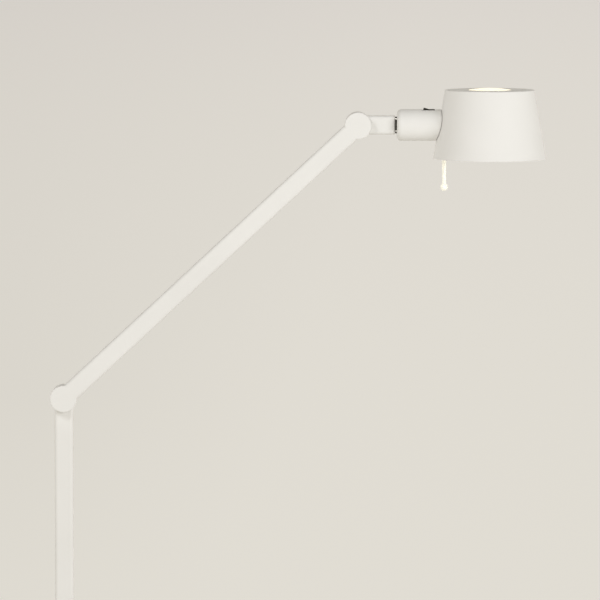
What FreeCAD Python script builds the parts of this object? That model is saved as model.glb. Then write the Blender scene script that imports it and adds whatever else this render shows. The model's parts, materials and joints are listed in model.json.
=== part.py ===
import FreeCAD, Part
import math
import os
import re

import Sketcher
from FreeCAD import Placement, Rotation, Vector

# Adjustable arm floor lamp, in millimetres.
# Origin: centre of the round base, on the floor. +X points from the post towards the shade,
# +Y away from the viewer of the lamp's front, +Z up. The post and the short link lie in the
# rear plane (y = 0) and the long arm lies in front of them.

DIMENSIONS = (
    ("base_diameter", 250.0, "round base, outside"),
    ("base_height", 20.0, "top of the base above the floor"),
    ("cover_sheet", 1.5, "sheet thickness of the base cover"),
    ("cover_edge_radius", 3.0, "rounding of the cover's upper edge"),
    ("pad_height", 2.0, "anti-slip pad under the base"),
    ("pad_diameter", 236.0, "anti-slip pad"),
    ("plate_sheet", 1.2, "bottom plate thickness"),
    ("plate_diameter", 242.0, "bottom plate, outside"),
    ("weight_diameter", 235.0, "cast weight, outside"),
    ("channel_width", 10.0, "cord channel in the weight"),
    ("channel_depth", 10.0, "cord channel, up from the weight's underside"),
    ("gland_height", 10.5, "cord inlet above the floor"),
    ("gland_bore", 7.0, "hole for the mains cord"),
    ("gland_diameter", 11.0, "threaded barrel of the gland"),
    ("cord_bore", 12.0, "passage for the cord through the weight and the cover"),
    ("pad_access", 9.0, "holes in the pad over the plate screws"),
    ("plate_hole", 4.4, "screw holes of the bottom plate"),
    ("plate_thread", 4.0, "threaded holes for the plate screws"),
    ("plate_screw", 3.9, "plate screw shank"),
    ("plate_screw_length", 9.0, "plate screw, under its head"),
    ("plate_screw_head", 7.0, "plate screw head"),
    ("plate_screw_head_height", 1.4, "plate screw head"),
    ("foot_screw_hole", 5.5, "clearance holes for the foot screws"),
    ("foot_counterbore", 10.0, "counterbore for a foot screw's head"),
    ("foot_counterbore_depth", 8.0, "counterbore for a foot screw's head"),
    ("foot_thread", 5.0, "threaded holes of the foot flange"),
    ("foot_screw", 4.9, "foot screw shank"),
    ("foot_screw_head", 9.0, "foot screw head"),
    ("foot_screw_head_height", 3.0, "foot screw head"),
    ("foot_bore", 8.0, "lead passage of the foot flange"),
    ("drive_slot_width", 0.9, "drive slot of a screw"),
    ("drive_slot_depth", 0.6, "drive slot of a screw"),
    ("terminal_reach", 82.0, "terminal block behind the post"),
    ("terminal_width", 16.0, "terminal block"),
    ("terminal_length", 20.0, "terminal block"),
    ("terminal_height", 8.0, "terminal block"),
    ("terminal_pitch", 8.0, "distance between the two poles"),
    ("terminal_rows", 10.0, "distance between the screws of a pole"),
    ("terminal_well", 3.6, "screw wells of the terminal block"),
    ("terminal_bore", 3.0, "wire passages of the terminal block"),
    ("terminal_margin", 0.5, "terminal pocket beyond the block's sides"),
    ("terminal_room", 32.0, "terminal pocket, front to back"),
    ("gland_room_width", 18.0, "gland pocket"),
    ("gland_room_length", 24.0, "gland pocket"),
    ("gland_room_depth", 14.2, "gland pocket"),
    ("gland_length", 17.0, "threaded part of the gland, to the cover's outside"),
    ("gland_cap", 14.0, "rounded cap of the gland"),
    ("gland_cap_length", 2.5, "rounded cap of the gland"),
    ("gland_nut_width", 13.4, "gland lock nut across flats"),
    ("gland_nut_height", 4.0, "gland lock nut"),
    ("foot_diameter", 46.0, "round foot flange of the post"),
    ("foot_height", 5.0, "foot flange thickness"),
    ("foot_screw_circle", 33.0, "pitch circle of the foot screws"),
    ("plate_screw_circle", 150.0, "pitch circle of the bottom plate screws"),
    ("elbow_height", 900.0, "elbow axis above the floor"),
    ("arm_length", 514.2, "elbow axis to wrist axis"),
    ("arm_angle", 42.86, "rise of the arm above the horizontal, degrees"),
    ("tube_width", 24.0, "rectangular tube, side seen from the front"),
    ("tube_depth", 15.0, "rectangular tube, front to back"),
    ("tube_wall", 1.5, "rectangular tube wall"),
    ("tube_corner", 4.0, "outer corner radius of the tube"),
    ("hub_diameter", 34.0, "round joint hubs"),
    ("hub_edge", 1.0, "rounding of the hub rims"),
    ("hub_gap", 0.6, "gap between the front and rear hubs"),
    ("neck_length", 24.0, "hub axis to the end of the tube"),
    ("spigot_length", 25.0, "hub spigot inside the tube"),
    ("spigot_play", 0.1, "clearance of the spigot in the tube, per side"),
    ("lead_channel", 8.0, "lead channel along a neck"),
    ("front_channel", 6.4, "lead channel along the front hub's neck"),
    ("front_channel_shift", 0.8, "front channel, forward of the tube's middle"),
    ("shaft_diameter", 10.0, "hollow pivot shaft"),
    ("shaft_bore", 6.0, "bore of the pivot shaft"),
    ("running_play", 0.05, "radial clearance of a shaft in its bearing"),
    ("shaft_grip", 4.9, "pivot shaft inside the front hub"),
    ("web_thickness", 3.5, "bearing web of the rear hub"),
    ("recess_diameter", 24.0, "nut recess of the rear hub"),
    ("cap_diameter", 27.0, "rear cover cap"),
    ("cap_thickness", 1.5, "rear cover cap"),
    ("friction_diameter", 20.0, "friction washer"),
    ("friction_inset", 0.5, "friction washer recess in each hub"),
    ("flat_washer", 0.8, "flat washer thickness"),
    ("flat_washer_diameter", 20.0, "flat washer"),
    ("spring_height", 1.2, "disc spring, loaded height"),
    ("spring_sheet", 0.7, "disc spring sheet"),
    ("spring_diameter", 18.0, "disc spring"),
    ("nut_height", 2.3, "jam nut"),
    ("nut_width", 14.0, "jam nut across flats"),
    ("stop_radius", 13.0, "elbow stop pin, distance from the axis"),
    ("stop_pin", 3.0, "elbow stop pin diameter"),
    ("stop_slot", 3.6, "elbow stop slot width"),
    ("stop_depth", 2.0, "elbow stop slot depth"),
    ("stop_sweep", 275.0, "elbow stop slot, whole angle"),
    ("lead_diameter", 2.8, "two-core lead"),
    ("lead_shift", 2.4, "lead behind the middle of the rear hub"),
    ("link_length", 47.5, "wrist axis to the end of the link"),
    ("link_edge", 1.6, "rounding of the link's end"),
    ("ring_diameter", 21.8, "dark swivel ring"),
    ("ring_width", 2.4, "dark swivel ring"),
    ("swivel_wall", 2.5, "end wall of the lamp housing"),
    ("swivel_stop_radius", 8.0, "swivel stop pin, distance from the axis"),
    ("swivel_stop_pin", 2.4, "swivel stop pin diameter"),
    ("swivel_stop_slot", 3.0, "swivel stop slot width"),
    ("swivel_stop_depth", 1.2, "swivel stop slot depth"),
    ("swivel_sweep", 340.0, "swivel stop slot, whole angle"),
    ("swivel_nut", 3.0, "swivel nut height"),
    ("housing_diameter", 40.4, "lampholder housing"),
    ("housing_wall", 1.5, "lampholder housing"),
    ("housing_round", 5.5, "rounding of the housing's closed end"),
    ("shade_reach", 118.6, "closed end of the housing to the shade's axis"),
    ("shade_rise", 44.9, "shade top above the head axis"),
    ("shade_drop", 43.1, "shade rim below the head axis"),
    ("shade_top_diameter", 114.6, "shade, top"),
    ("shade_rim_diameter", 144.8, "shade, open lower rim"),
    ("shade_sheet", 1.0, "shade sheet"),
    ("shade_edge", 0.9, "rounding of the shade's top edge"),
    ("seam", 0.8, "gap between the housing and the shade"),
    ("top_hole", 54.2, "round light opening in the shade's top"),
    ("seat_width", 2.5, "ledge under the diffuser"),
    ("diffuser_thickness", 1.5, "opal disc at its edge"),
    ("diffuser_crown", 2.2, "rise of the opal disc's middle"),
    ("flange_bore", 26.6, "passage for the lampholder"),
    ("clamp_diameter", 40.0, "clamp ring inside the shade"),
    ("clamp_face", 63.9, "closed end of the housing to the clamp ring's inner face"),
    ("clamp_screw_spacing", 32.6, "distance between the two clamp screws"),
    ("flange_length", 20.0, "mouth flange blank"),
    ("flange_start", 45.4, "closed end of the housing to the mouth flange"),
    ("clamp_thread", 3.0, "threaded holes for the clamp screws"),
    ("clamp_clearance", 3.4, "clearance holes for the clamp screws"),
    ("clamp_screw", 2.9, "clamp screw shank"),
    ("clamp_screw_length", 15.0, "clamp screw, whole"),
    ("rod_hole", 4.6, "hole for the glass rod in the clamp ring"),
    ("rod_tenon", 4.5, "end of the glass rod in the clamp ring"),
    ("holder_diameter", 23.0, "lampholder body"),
    ("holder_start", 52.0, "closed end of the housing to the lampholder"),
    ("holder_length", 34.0, "lampholder"),
    ("globe_diameter", 45.0, "golf-ball bulb"),
    ("globe_wall", 1.0, "glass of the bulb"),
    ("globe_reach", 124.5, "closed end of the housing to the globe's middle"),
    ("rod_reach", 60.4, "closed end of the housing to the glass rod"),
    ("rod_top_diameter", 5.8, "glass rod at the clamp ring"),
    ("rod_end_diameter", 4.9, "glass rod above its ball"),
    ("rod_ball", 9.6, "ball at the end of the rod"),
    ("rod_drop", 79.4, "ball below the head axis"),
    ("switch_reach", 40.5, "closed end of the housing to the switch"),
    ("switch_pivot", 14.8, "rocker pivot above the head axis"),
    ("switch_floor", 3.0, "underside of the switch above the head axis"),
    ("switch_top", 17.0, "top of the switch above the head axis"),
    ("switch_length", 18.8, "switch body"),
    ("switch_width", 14.8, "switch body"),
    ("rocker_length", 16.0, "rocker"),
    ("rocker_width", 12.0, "rocker"),
    ("rocker_tilt", 8.0, "rocker either side of level, degrees"),
    ("rocker_pin", 2.4, "rocker trunnions"),
    ("rocker_play", 0.15, "radial clearance of the trunnions"),
)

doc = FreeCAD.newDocument("AdjustableArmFloorLamp")
sheet = doc.addObject("Spreadsheet::Sheet", "Dims")
for row, (alias, size, meaning) in enumerate(DIMENSIONS, start=1):
    sheet.set(f"A{row}", meaning)
    sheet.set(f"B{row}", str(size))
    sheet.setAlias(f"B{row}", alias)
doc.recompute()
ALIASES = {alias for alias, size, meaning in DIMENSIONS}

# Places worked out from the driving dimensions.
WRIST_X = "(arm_length * cos(arm_angle))"
WRIST_Z = "(elbow_height + arm_length * sin(arm_angle))"
ARM_Y = "(0 - tube_depth - hub_gap)"
HOUSING_X = f"({WRIST_X} + link_length + ring_width)"
SHADE_X = f"({HOUSING_X} + shade_reach)"
PLATE_TOP = "(pad_height + plate_sheet)"
COVER_UNDERSIDE = "(base_height - cover_sheet)"

UPRIGHT = Rotation()
ALONG_X = Rotation(Vector(0, 1, 0), 90)
ALONG_Y = Rotation(Vector(1, 0, 0), -90)


def formula(text):
    """An expression for FreeCAD, from a text that names the sheet's aliases."""
    return re.sub(r"[a-z]\w*", lambda word: f"Dims.{word[0]}" if word[0] in ALIASES else word[0], text)


def size_of(text):
    """The present value of such an expression."""
    return float(sheet.evalExpression(formula(text)))


def put(piece, x="0", y="0", z="0", turn=UPRIGHT):
    """Place a piece, with its position bound to the sheet."""
    piece.Placement = Placement(Vector(size_of(x), size_of(y), size_of(z)), turn)
    for axis, text in zip("xyz", (x, y, z)):
        piece.setExpression(f"Placement.Base.{axis}", formula(text))
    return piece


def new_body(name):
    body = doc.addObject("PartDesign::Body", name)
    body.Label = name
    return body


def new_sketch(body, role, name, offset="0"):
    """A sketch on one of the body's own origin planes, or at an offset from it."""
    plane = next(item for item in body.Origin.OriginFeatures if item.Role == role)
    sketch = body.newObject("Sketcher::SketchObject", name)
    sketch.AttachmentSupport = [(plane, "")]
    sketch.MapMode = "FlatFace"
    sketch.setExpression("AttachmentOffset.Base.z", formula(offset))
    return sketch


def hold_point(sketch, geometry, point, x, y):
    """Fix a point of a sketch at a pair of expressions."""
    for kind, axis, text in (("DistanceX", -2, x), ("DistanceY", -1, y)):
        if text == "0":
            sketch.addConstraint(Sketcher.Constraint("PointOnObject", geometry, point, axis))
            continue
        index = sketch.addConstraint(Sketcher.Constraint(kind, -1, 1, geometry, point, size_of(text)))
        sketch.setExpression(f"Constraints[{index}]", formula(text))


def draw_outline(sketch, corners):
    """A closed polygon whose corners are pairs of expressions."""
    first = len(sketch.Geometry)
    points = [Vector(size_of(x), size_of(y), 0) for x, y in corners]
    count = len(corners)
    for index in range(count):
        sketch.addGeometry(Part.LineSegment(points[index], points[(index + 1) % count]))
    for index, (x, y) in enumerate(corners):
        following = first + (index + 1) % count
        sketch.addConstraint(Sketcher.Constraint("Coincident", first + index, 2, following, 1))
        hold_point(sketch, first + index, 1, x, y)


def draw_circle(sketch, diameter, x="0", y="0"):
    centre = Vector(size_of(x), size_of(y), 0)
    index = sketch.addGeometry(Part.Circle(centre, Vector(0, 0, 1), size_of(diameter) / 2))
    limit = sketch.addConstraint(Sketcher.Constraint("Diameter", index, size_of(diameter)))
    sketch.setExpression(f"Constraints[{limit}]", formula(diameter))
    hold_point(sketch, index, 3, x, y)


def draw_rectangle(sketch, width, height, x="0", y="0"):
    """A rectangle centred on a point."""
    left, right = f"{x} - ({width}) / 2", f"{x} + ({width}) / 2"
    low, high = f"{y} - ({height}) / 2", f"{y} + ({height}) / 2"
    draw_outline(sketch, [(left, low), (right, low), (right, high), (left, high)])


def draw_rounded_rectangle(sketch, width, height, radius):
    """A rectangle centred on the origin with four equal corner arcs."""
    first = len(sketch.Geometry)
    across, inset_across = f"({width}) / 2", f"(({width}) / 2 - ({radius}))"
    up, inset_up = f"({height}) / 2", f"(({height}) / 2 - ({radius}))"
    sides = (
        ((f"0 - {inset_across}", f"0 - {up}"), (inset_across, f"0 - {up}")),
        ((across, f"0 - {inset_up}"), (across, inset_up)),
        ((inset_across, up), (f"0 - {inset_across}", up)),
        ((f"0 - {across}", inset_up), (f"0 - {across}", f"0 - {inset_up}")),
    )
    for start, end in sides:
        points = [Vector(size_of(x), size_of(y), 0) for x, y in (start, end)]
        line = sketch.addGeometry(Part.LineSegment(*points))
        hold_point(sketch, line, 1, *start)
        hold_point(sketch, line, 2, *end)
    corner_signs = ((1, -1), (1, 1), (-1, 1), (-1, -1))
    for index, (right, top) in enumerate(corner_signs):
        centre = Vector(right * size_of(inset_across), top * size_of(inset_up), 0)
        circle = Part.Circle(centre, Vector(0, 0, 1), size_of(radius))
        start_angle = (index - 1) * math.pi / 2
        arc = sketch.addGeometry(Part.ArcOfCircle(circle, start_angle, start_angle + math.pi / 2))
        sketch.addConstraint(Sketcher.Constraint("Coincident", first + index, 2, arc, 1))
        sketch.addConstraint(Sketcher.Constraint("Coincident", arc, 2, first + (index + 1) % 4, 1))
        limit = sketch.addConstraint(Sketcher.Constraint("Radius", arc, size_of(radius)))
        sketch.setExpression(f"Constraints[{limit}]", formula(radius))


def pad(body, sketch, length, midplane=False):
    feature = body.newObject("PartDesign::Pad", f"{sketch.Name}Pad")
    feature.Profile = sketch
    feature.SideType = "Symmetric" if midplane else "One side"
    feature.setExpression("Length", formula(length))
    doc.recompute()
    return feature


def pocket(body, sketch, depth="", reverse=False):
    """Cut a sketch to a depth, or right through when no depth is given."""
    before = body.Shape.Volume
    feature = body.newObject("PartDesign::Pocket", f"{sketch.Name}Pocket")
    feature.Profile = sketch
    feature.Reversed = reverse
    if depth:
        feature.setExpression("Length", formula(depth))
    else:
        feature.Type = "ThroughAll"
    doc.recompute()
    if body.Shape.Volume >= before:
        raise RuntimeError(f"{feature.Name} cut nothing")
    return feature


def round_edges(body, name, radius, chosen):
    """Fillet the edges of the body's present shape that pass a test."""
    base = body.Tip
    edges = [f"Edge{n}" for n, edge in enumerate(base.Shape.Edges, start=1) if chosen(edge)]
    feature = body.newObject("PartDesign::Fillet", name)
    feature.Base = (base, edges)
    feature.setExpression("Radius", formula(radius))
    doc.recompute()
    return feature


def lies_along(edge, direction):
    """Whether an edge is straight and runs along a direction."""
    if len(edge.Vertexes) < 2:
        return False
    start, end = edge.Vertexes[0].Point, edge.Vertexes[-1].Point
    run = end - start
    return abs(abs(run.dot(direction)) - edge.Length) < 1e-6 and edge.Length > 1e-6


def is_circle(edge, radius, height=None):
    """Whether an edge is a whole circle of a radius, and at a height if one is given."""
    curve = edge.Curve
    if not isinstance(curve, Part.Circle) or abs(curve.Radius - radius) > 1e-4:
        return False
    return height is None or abs(curve.Center.z - height) < 1e-4


def turned(name, outline):
    """A body revolved about its own Z axis from an outline of (radius, height) expressions."""
    body = new_body(name)
    sketch = new_sketch(body, "XZ_Plane", f"{name}_outline")
    draw_outline(sketch, outline)
    feature = body.newObject("PartDesign::Revolution", f"{name}_turned")
    feature.Profile = sketch
    feature.ReferenceAxis = (sketch, ["V_Axis"])
    feature.Angle = 360
    doc.recompute()
    return body


def ring_outline(inner, outer, low, high):
    """The section of a ring, from its two diameters and two heights."""
    inside, outside = f"({inner}) / 2", f"({outer}) / 2"
    if inner == "0":
        inside = "0"
    return [(inside, low), (outside, low), (outside, high), (inside, high)]


def disc(name, inner, outer, low, high):
    return turned(name, ring_outline(inner, outer, low, high))


def joined(name, kind, pieces):
    """A Part boolean of several objects, under one name."""
    result = doc.addObject(kind, name)
    result.Label = name
    result.Shapes = pieces
    doc.recompute()
    return result


def cut(name, base, tool):
    result = doc.addObject("Part::Cut", name)
    result.Label = name
    result.Base = base
    result.Tool = tool
    doc.recompute()
    return result


def solid_cylinder(name, diameter, length, x="0", y="0", z="0", turn=UPRIGHT):
    piece = doc.addObject("Part::Cylinder", name)
    piece.setExpression("Radius", formula(f"({diameter}) / 2"))
    piece.setExpression("Height", formula(length))
    return put(piece, x, y, z, turn)


def solid_box(name, across, back, up, x="0", y="0", z="0"):
    """A box centred in X and Y on a point, and standing on it."""
    piece = doc.addObject("Part::Box", name)
    piece.setExpression("Length", formula(across))
    piece.setExpression("Width", formula(back))
    piece.setExpression("Height", formula(up))
    return put(piece, f"{x} - ({across}) / 2", f"{y} - ({back}) / 2", z)


def neck_turn(angle):
    """Rotation of a hub's own frame: its axis to +Y, its neck to an angle above the horizontal."""
    return Rotation(Vector(0, 1, 0), -angle) * ALONG_Y


# ---------------------------------------------------------------- base

def base_pieces():
    bottom = disc("base_pad", "0", "pad_diameter", "0", "pad_height")
    access = new_sketch(bottom, "XY_Plane", "base_pad_access")
    add_screw_circle(access, "pad_access", "plate_screw_circle")
    pocket(bottom, access, reverse=True)

    plate = disc("base_plate", "0", "plate_diameter", "pad_height", PLATE_TOP)
    holes = new_sketch(plate, "XY_Plane", "base_plate_holes", "pad_height")
    add_screw_circle(holes, "plate_hole", "plate_screw_circle")
    pocket(plate, holes, reverse=True)

    weight_body()
    cover_body()
    screw_group("base_plate_screws", "plate", "plate_screw_length", "pad_height")


def screw_angles():
    """Three places round a circle, clear of the cord channel at the back."""
    return (30, 150, 270)


def add_screw_circle(sketch, diameter, circle):
    for angle in screw_angles():
        x = f"({circle}) / 2 * cos({angle})" if angle != 270 else "0"
        draw_circle(sketch, diameter, x, f"({circle}) / 2 * sin({angle})")


def weight_body():
    """Cast disc with a cord channel at the back, a terminal pocket and a gland pocket."""
    weight = disc("base_weight", "cord_bore", "weight_diameter", PLATE_TOP, COVER_UNDERSIDE)
    reach = "weight_diameter / 2 + 1"
    cuts = (
        ("channel", "channel_width", reach, f"({reach}) / 2", "channel_depth"),
        ("terminal_room", "terminal_width + 2 * terminal_margin", "terminal_room", "terminal_reach",
         "channel_depth"),
        ("gland_room", "gland_room_width", "gland_room_length",
         "(weight_diameter - gland_room_length) / 2 + 6", "gland_room_depth"),
    )
    for name, width, length, middle, depth in cuts:
        sketch = new_sketch(weight, "XY_Plane", f"base_weight_{name}", PLATE_TOP)
        draw_rectangle(sketch, width, length, "0", middle)
        pocket(weight, sketch, depth, reverse=True)
    threads = new_sketch(weight, "XY_Plane", "base_weight_threads", PLATE_TOP)
    add_screw_circle(threads, "plate_thread", "plate_screw_circle")
    pocket(weight, threads, "plate_screw_length", reverse=True)
    passages = new_sketch(weight, "XY_Plane", "base_weight_passages", PLATE_TOP)
    add_screw_circle(passages, "foot_screw_hole", "foot_screw_circle")
    pocket(weight, passages, reverse=True)
    counterbores = new_sketch(weight, "XY_Plane", "base_weight_counterbores", PLATE_TOP)
    add_screw_circle(counterbores, "foot_counterbore", "foot_screw_circle")
    pocket(weight, counterbores, "foot_counterbore_depth", reverse=True)


def cover_body():
    """Pressed cover: a flat disc with a turned-down skirt and a hole for the cord gland."""
    outside, inside = "base_diameter / 2", "base_diameter / 2 - cover_sheet"
    cover = turned("base_cover", [
        ("cord_bore / 2", COVER_UNDERSIDE), (inside, COVER_UNDERSIDE), (inside, "pad_height"),
        (outside, "pad_height"), (outside, "base_height"), ("cord_bore / 2", "base_height"),
    ])
    rim = size_of(outside)
    top = size_of("base_height")
    round_edges(cover, "base_cover_edge", "cover_edge_radius", lambda edge: is_circle(edge, rim, top))
    inner_rim = size_of(inside)
    under = size_of(COVER_UNDERSIDE)
    round_edges(cover, "base_cover_inner_edge", "cover_edge_radius - cover_sheet",
                lambda edge: is_circle(edge, inner_rim, under))
    holes = new_sketch(cover, "XY_Plane", "base_cover_holes", COVER_UNDERSIDE)
    add_screw_circle(holes, "foot_screw_hole", "foot_screw_circle")
    pocket(cover, holes, reverse=True)
    inlet = new_sketch(cover, "XZ_Plane", "base_cover_inlet", "0 - base_diameter / 2 - 1")
    draw_circle(inlet, "gland_diameter + 0.2", "0", "gland_height")
    pocket(cover, inlet, "8", reverse=True)


def screw_group(name, kind, length, seat):
    """Identical screws on a circle, pointing up, as one group of separate solids."""
    circle, shank = f"{kind}_screw_circle", f"{kind}_screw"
    head, head_height = f"{kind}_screw_head", f"{kind}_screw_head_height"
    screws = []
    for number, angle in enumerate(screw_angles(), start=1):
        x, y = f"{circle} / 2 * cos({angle})", f"{circle} / 2 * sin({angle})"
        low = f"{seat} - ({head_height})"
        top = solid_cylinder(f"{name}_head_{number}", head, head_height, x, y, low)
        rod = solid_cylinder(f"{name}_shank_{number}", shank, f"({length}) + 0.1", x, y, f"{seat} - 0.1")
        drive = solid_box(f"{name}_drive_{number}", "drive_slot_width", f"{head} * 0.8", "drive_slot_depth",
                          x, y, f"{low} - 0.01")
        whole = joined(f"{name}_{number}_blank", "Part::MultiFuse", [top, rod])
        screws.append(cut(f"{name}_{number}", whole, drive))
    group = doc.addObject("Part::Compound", name)
    group.Label = name
    group.Links = screws
    doc.recompute()
    return group


def gland_pieces():
    """Threaded cord gland through the skirt, with its lock nut inside."""
    chamfer, end = "1", "(gland_length + gland_cap_length)"
    gland = turned("cord_gland", [
        ("gland_bore / 2", "0"), ("gland_diameter / 2", "0"), ("gland_diameter / 2", "gland_length"),
        ("gland_cap / 2", "gland_length"), ("gland_cap / 2", f"{end} - {chamfer}"),
        (f"gland_cap / 2 - {chamfer}", end), ("gland_bore / 2", end),
    ])
    put(gland, "0", "base_diameter / 2 - gland_length", "gland_height", ALONG_Y)
    nut = hex_nut("cord_gland_nut", "gland_nut_width", "gland_diameter + 0.1", "gland_nut_height")
    put(nut, "0", "base_diameter / 2 - cover_sheet - gland_nut_height - 0.4", "gland_height", ALONG_Y)


def hex_nut(name, across_flats, bore, height):
    """A hexagon nut standing on its own XY plane, its corners on the local X axis."""
    body = new_body(name)
    sketch = new_sketch(body, "XY_Plane", f"{name}_outline")
    corner = f"({across_flats}) / (2 * cos(30))"
    flat = f"({across_flats}) / 2"
    draw_outline(sketch, [
        (corner, "0"), (f"({corner}) / 2", flat), (f"0 - ({corner}) / 2", flat),
        (f"0 - ({corner})", "0"), (f"0 - ({corner}) / 2", f"0 - {flat}"), (f"({corner}) / 2", f"0 - {flat}"),
    ])
    draw_circle(sketch, bore)
    pad(body, sketch, height)
    return body


def terminal_block():
    """Two-pole terminal block in the weight's pocket, with a screw well over each pole."""
    middle, low = "terminal_reach", PLATE_TOP
    block = solid_box("terminal_block_body", "terminal_width", "terminal_length", "terminal_height",
                      "0", middle, f"{low} + 0.5")
    wells = []
    for side in (-1, 1):
        for row in (-1, 1):
            name = f"terminal_well_{side + 2}_{row + 2}"
            wells.append(solid_cylinder(name, "terminal_well", "3", f"{side} * terminal_pitch / 2",
                                        f"{middle} + {row} * terminal_rows / 2", low))
        name = f"terminal_passage_{side + 2}"
        wells.append(solid_cylinder(name, "terminal_bore", "terminal_length + 2",
                                    f"{side} * terminal_pitch / 2", f"{middle} - terminal_length / 2 - 1",
                                    f"{low} + 5", ALONG_Y))
    cut("terminal_block", block, joined("terminal_wells", "Part::MultiFuse", wells))


def foot_flange():
    """Round foot of the post: a disc with a spigot that stands in the post."""
    foot = turned("foot_flange", ring_outline("foot_bore", "foot_diameter", "0", "foot_height"))
    edge, top = size_of("foot_diameter / 2"), size_of("foot_height")
    round_edges(foot, "foot_flange_edge", "1.2", lambda item: is_circle(item, edge, top))
    spigot = new_sketch(foot, "XY_Plane", "foot_spigot", "foot_height")
    draw_spigot(spigot)
    draw_circle(spigot, "foot_bore")
    pad(foot, spigot, "spigot_length")
    threads = new_sketch(foot, "XY_Plane", "foot_threads")
    add_screw_circle(threads, "foot_thread", "foot_screw_circle")
    pocket(foot, threads, "foot_height - 1", reverse=True)
    put(foot, "0", "0", "base_height")
    seat = f"({PLATE_TOP} + foot_counterbore_depth)"
    screw_group("foot_screws", "foot", f"base_height + foot_height - 1.2 - {seat}", seat)


# ---------------------------------------------------------------- tubes and hubs

def draw_spigot(sketch):
    """The section of a spigot that fits inside the rectangular tube."""
    inset = "2 * tube_wall - 2 * spigot_play"
    draw_rounded_rectangle(sketch, f"tube_width - {inset}", f"tube_depth - {inset}",
                           "tube_corner - tube_wall - spigot_play")


def tube(name, length):
    """Rectangular tube along its own X axis, starting at the end of a hub's neck."""
    body = new_body(name)
    section = new_sketch(body, "YZ_Plane", f"{name}_section", "neck_length")
    draw_rounded_rectangle(section, "tube_width", "tube_depth", "tube_corner")
    draw_rounded_rectangle(section, "tube_width - 2 * tube_wall", "tube_depth - 2 * tube_wall",
                           "tube_corner - tube_wall")
    pad(body, section, length)
    return body


def hub_blank(name, neck):
    """The round hub and its rectangular neck, about its own Z axis, the neck along its X axis."""
    body = new_body(name)
    round_part = new_sketch(body, "XY_Plane", f"{name}_disc")
    draw_circle(round_part, "hub_diameter")
    pad(body, round_part, "tube_depth", midplane=True)
    radius = size_of("hub_diameter / 2")
    round_edges(body, f"{name}_rims", "hub_edge", lambda edge: is_circle(edge, radius))
    arm = new_sketch(body, "YZ_Plane", f"{name}_neck")
    draw_rounded_rectangle(arm, "tube_width", "tube_depth", "tube_corner")
    pad(body, arm, neck)
    return body


def add_spigot(body, name):
    spigot = new_sketch(body, "YZ_Plane", f"{name}_spigot", "neck_length")
    draw_spigot(spigot)
    pad(body, spigot, "spigot_length")


def cut_rear_hub(body, name):
    """Bearing web, nut recess, cap rebate, friction washer recess and stop slot of a rear hub."""
    back, front = "tube_depth / 2", "0 - tube_depth / 2"
    cuts = (
        ("cap_rebate", "cap_diameter", back, "cap_thickness", False),
        ("nut_recess", "recess_diameter", back, "tube_depth - web_thickness", False),
        ("bearing", "shaft_diameter + 2 * running_play", front, "tube_depth", True),
        ("friction_recess", "friction_diameter + 0.6", front, "friction_inset", True),
    )
    for part, diameter, height, depth, reverse in cuts:
        sketch = new_sketch(body, "XY_Plane", f"{name}_{part}", height)
        draw_circle(sketch, diameter)
        pocket(body, sketch, depth, reverse)
    slot = new_sketch(body, "XZ_Plane", f"{name}_stop_slot")
    near, far = "stop_radius - stop_slot / 2", "stop_radius + stop_slot / 2"
    draw_outline(slot, [
        (f"0 - ({far})", front), (f"0 - ({near})", front),
        (f"0 - ({near})", f"{front} + stop_depth"), (f"0 - ({far})", f"{front} + stop_depth"),
    ])
    groove(body, slot, "stop_sweep", "V_Axis")


def groove(body, sketch, sweep, axis):
    """A groove swept evenly to both sides of its sketch."""
    before = body.Shape.Volume
    feature = body.newObject("PartDesign::Groove", f"{sketch.Name}_groove")
    feature.Profile = sketch
    feature.ReferenceAxis = (sketch, [axis])
    feature.Midplane = True
    feature.setExpression("Angle", formula(sweep))
    doc.recompute()
    if body.Shape.Volume >= before:
        raise RuntimeError(f"{feature.Name} cut nothing")


def cut_channel(body, name, diameter, start, length, shift="0"):
    """A round lead channel along the neck."""
    sketch = new_sketch(body, "YZ_Plane", f"{name}_channel", start)
    draw_circle(sketch, diameter, "0", shift)
    pocket(body, sketch, length, reverse=True)


def rear_hub(name):
    body = hub_blank(name, "neck_length")
    add_spigot(body, name)
    cut_rear_hub(body, name)
    cut_channel(body, name, "lead_channel", "8", "neck_length + spigot_length - 8")
    return body


def front_hub(name):
    """Closed in front; takes the pivot shaft and the stop pin from behind."""
    body = hub_blank(name, "neck_length")
    add_spigot(body, name)
    inner_face = "tube_depth / 2"
    cuts = (
        ("shaft_hole", "shaft_diameter + 0.02", "0", "tube_depth - 3"),
        ("friction_recess", "friction_diameter + 0.1", "0", "friction_inset"),
        ("stop_hole", "stop_pin + 0.02", "stop_radius", "4"),
    )
    for part, diameter, x, depth in cuts:
        sketch = new_sketch(body, "XY_Plane", f"{name}_{part}", inner_face)
        draw_circle(sketch, diameter, x)
        pocket(body, sketch, depth)
    cut_channel(body, name, "front_channel", "0", "neck_length + spigot_length", "0 - front_channel_shift")
    return body


def link_arm(name):
    """The short rear bar: a hub at the wrist and a bored end for the swivel."""
    body = hub_blank(name, "link_length")
    end = size_of("link_length")
    round_edges(body, f"{name}_end", "link_edge", lambda edge: (
        abs(edge.BoundBox.XMin - end) < 1e-4 and abs(edge.BoundBox.XMax - end) < 1e-4))
    cut_rear_hub(body, name)
    cut_channel(body, name, "lead_channel", "8", "link_length - 20")
    thread = new_sketch(body, "YZ_Plane", f"{name}_thread", "link_length")
    draw_circle(thread, "shaft_diameter + 0.02")
    draw_circle(thread, "swivel_stop_pin + 0.02", "swivel_stop_radius", "0")
    pocket(body, thread, "4")
    deep = new_sketch(body, "YZ_Plane", f"{name}_deep_thread", "link_length")
    draw_circle(deep, "shaft_diameter + 0.02")
    pocket(body, deep, "12.1")
    return body


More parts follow.
